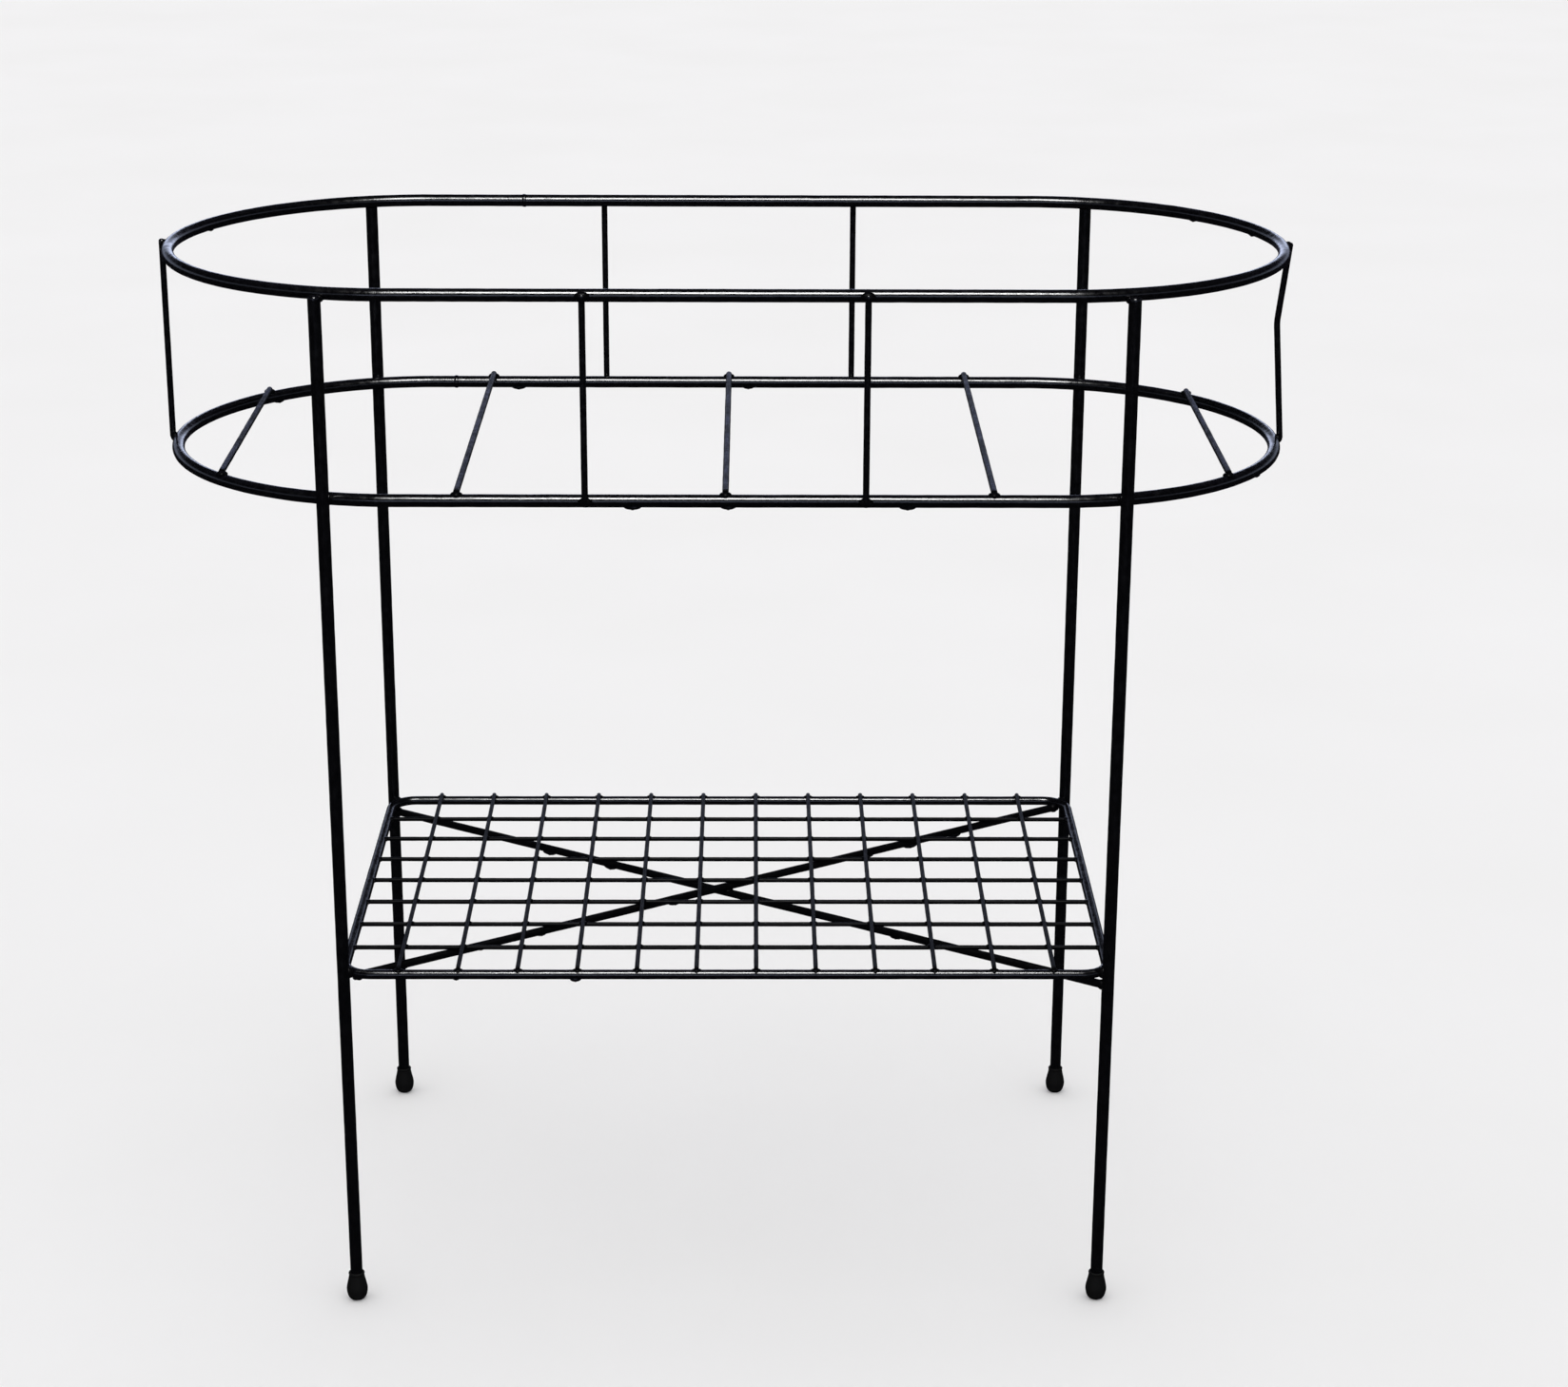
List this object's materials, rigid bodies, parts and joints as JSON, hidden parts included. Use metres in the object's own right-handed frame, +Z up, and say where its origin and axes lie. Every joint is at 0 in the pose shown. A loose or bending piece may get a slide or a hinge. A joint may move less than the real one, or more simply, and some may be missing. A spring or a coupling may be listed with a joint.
{
  "type": "plant table",
  "caption": "Free-standing welded rod plant table: an oval two-ring tray with cross bars and side spindles on four legs, a wire-mesh shelf below, rubber feet.",
  "frame": {"origin": "on the floor under the middle of the table", "axes": "+X along the table's length, +Y across it towards the back, +Z up"},
  "size_m": [0.858, 0.3816, 0.803],
  "materials": {
    "black_enamel": "brushed-on gloss black enamel over welded steel rod",
    "rubber_foot": "matt black moulded rubber"
  },
  "bodies": {
    "root": {"back_left_foot": "rubber_foot", "back_left_leg": "black_enamel", "back_left_spindle": "black_enamel", "back_right_foot": "rubber_foot", "back_right_leg": "black_enamel", "back_right_spindle": "black_enamel", "front_left_foot": "rubber_foot", "front_left_leg": "black_enamel", "front_left_spindle": "black_enamel", "front_right_foot": "rubber_foot", "front_right_leg": "black_enamel", "front_right_spindle": "black_enamel", "left_end_spindle": "black_enamel", "leg_welds": "black_enamel", "lower_ring": "black_enamel", "right_end_spindle": "black_enamel", "shelf_cross_wire_1": "black_enamel", "shelf_cross_wire_10": "black_enamel", "shelf_cross_wire_11": "black_enamel", "shelf_cross_wire_12": "black_enamel", "shelf_cross_wire_2": "black_enamel", "shelf_cross_wire_3": "black_enamel", "shelf_cross_wire_4": "black_enamel", "shelf_cross_wire_5": "black_enamel", "shelf_cross_wire_6": "black_enamel", "shelf_cross_wire_7": "black_enamel", "shelf_cross_wire_8": "black_enamel", "shelf_cross_wire_9": "black_enamel", "shelf_frame": "black_enamel", "shelf_long_wire_1": "black_enamel", "shelf_long_wire_2": "black_enamel", "shelf_long_wire_3": "black_enamel", "shelf_long_wire_4": "black_enamel", "shelf_long_wire_5": "black_enamel", "shelf_long_wire_6": "black_enamel", "shelf_long_wire_7": "black_enamel", "shelf_lower_brace": "black_enamel", "shelf_upper_brace": "black_enamel", "shelf_welds": "black_enamel", "spindle_welds": "black_enamel", "tray_bar_1": "black_enamel", "tray_bar_2": "black_enamel", "tray_bar_3": "black_enamel", "tray_bar_4": "black_enamel", "tray_bar_5": "black_enamel", "tray_bar_welds": "black_enamel", "upper_ring": "black_enamel"}
  },
  "joints": []
}
